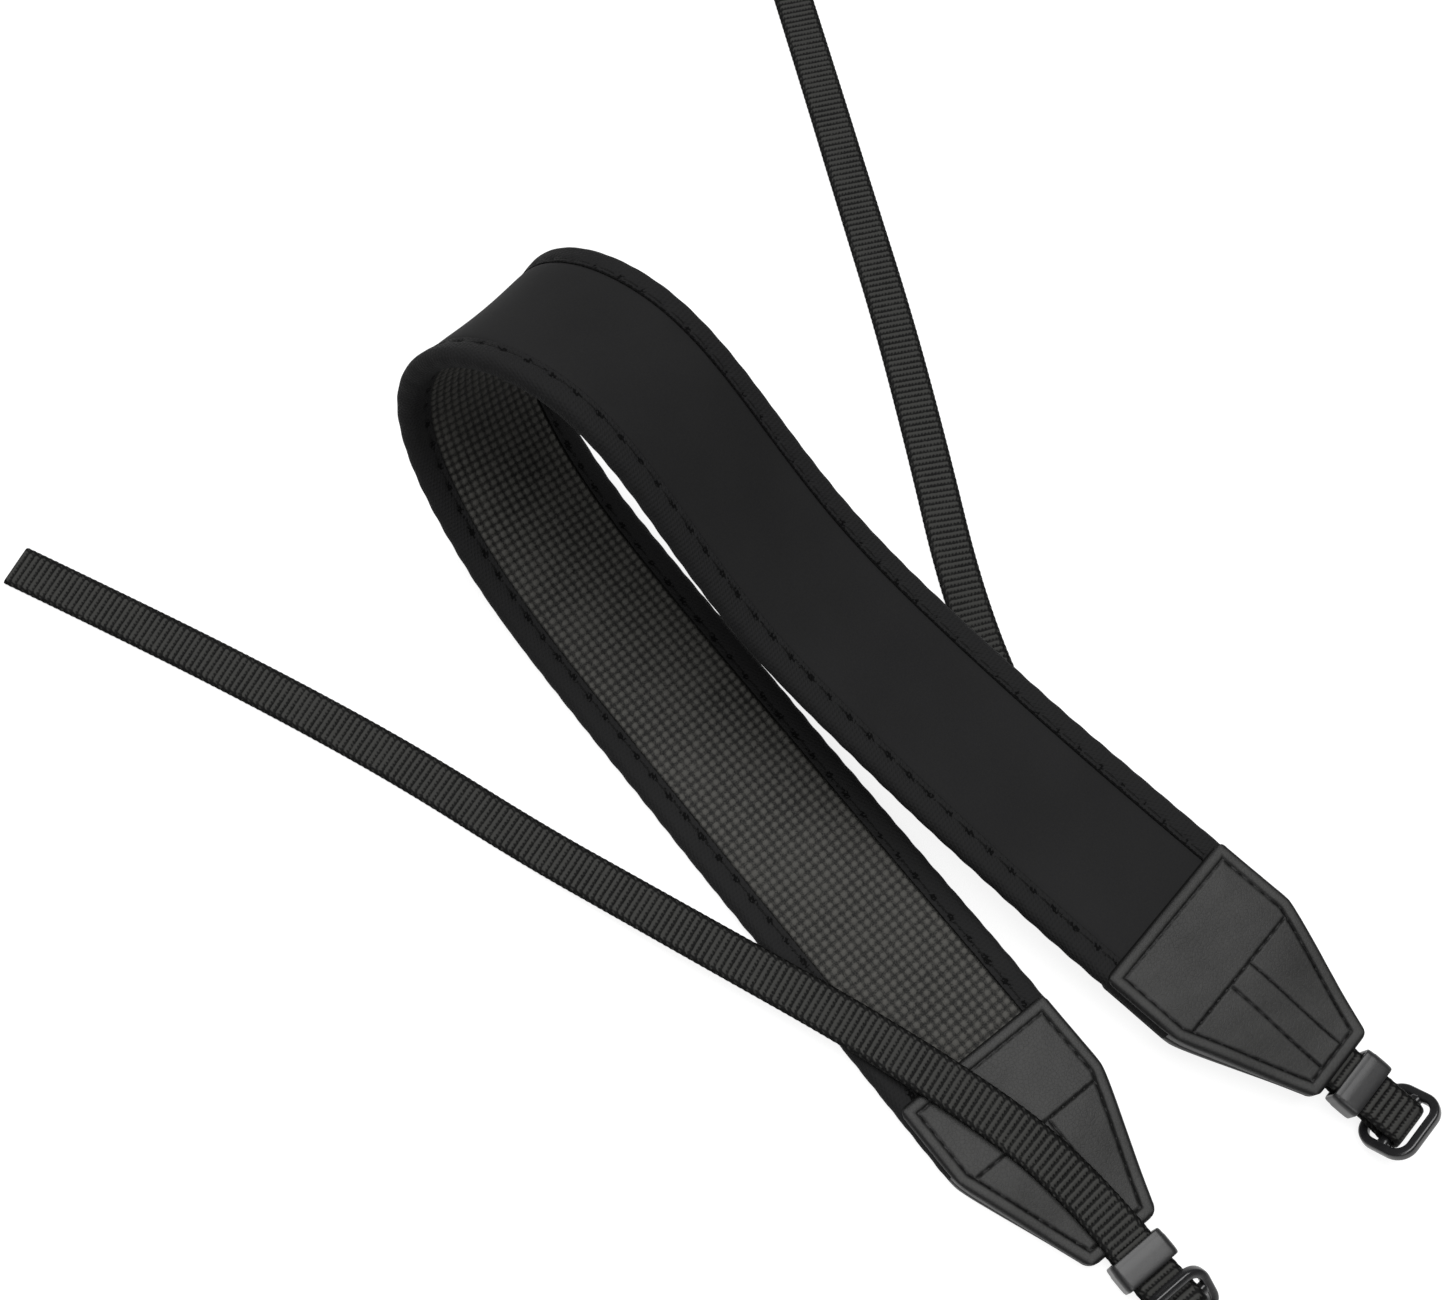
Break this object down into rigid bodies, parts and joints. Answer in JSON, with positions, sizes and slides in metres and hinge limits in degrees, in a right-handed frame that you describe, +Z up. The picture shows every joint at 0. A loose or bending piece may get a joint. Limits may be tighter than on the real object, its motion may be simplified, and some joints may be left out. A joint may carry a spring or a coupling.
{
  "type": "padded neck strap",
  "caption": "Padded neck strap folded over itself, with leather ends, webbing tails, keepers and tri-glide sliders.",
  "frame": {"origin": "centre of the footprint of everything but the loose tails, on the surface the strap lies on", "axes": "+X from the fold out along the lower limb to the leather ends, +Z up from the surface, +Y across towards the upper limb"},
  "size_m": [0.3201, 0.2555, 0.0728],
  "materials": {
    "neoprene": "smooth matte neoprene-faced foam",
    "mesh": "coarse square grip mesh",
    "tape": "fine woven binding tape",
    "thread": "dark sewing thread",
    "leather": "fine-grained matte leather",
    "webbing": "woven webbing with ribs across",
    "keeper": "moulded, softly glossy",
    "slider": "moulded, glossy"
  },
  "bodies": {
    "strap": {"pad_core": "neoprene", "grip_mesh": "mesh", "edge_binding_near": "tape", "edge_binding_far": "tape", "edge_stitching_near": "thread", "edge_stitching_far": "thread", "face_patch_left": "leather", "inner_patch_left": "leather", "webbing_loop_left": "webbing", "webbing_tail_left": "webbing", "face_patch_right": "leather", "inner_patch_right": "leather", "webbing_loop_right": "webbing", "webbing_tail_right": "webbing"},
    "keeper_left": {"keeper_left": "keeper"},
    "slider_left": {"slider_left": "slider"},
    "keeper_right": {"keeper_right": "keeper"},
    "slider_right": {"slider_right": "slider"}
  },
  "joints": [
    {"name": "keeper_slide_left", "type": "slide", "parent": "strap", "child": "keeper_left", "axis": [1, 0, 0], "range_m": [-0.0016, 0.001]},
    {"name": "slider_swing_left", "type": "hinge", "parent": "strap", "child": "slider_left", "pos_m": [0.121, -0.0254, 0.00585], "axis": [0, 1, 0], "range_deg": [-4, 78]},
    {"name": "keeper_slide_right", "type": "slide", "parent": "strap", "child": "keeper_right", "axis": [0.9795, 0.1815, -0.0872], "range_m": [-0.0016, 0.001]},
    {"name": "slider_swing_right", "type": "hinge", "parent": "strap", "child": "slider_right", "pos_m": [0.12198, 0.03397, 0.00546], "axis": [0.1822, -0.9833, 0], "range_deg": [-6, 76]}
  ]
}
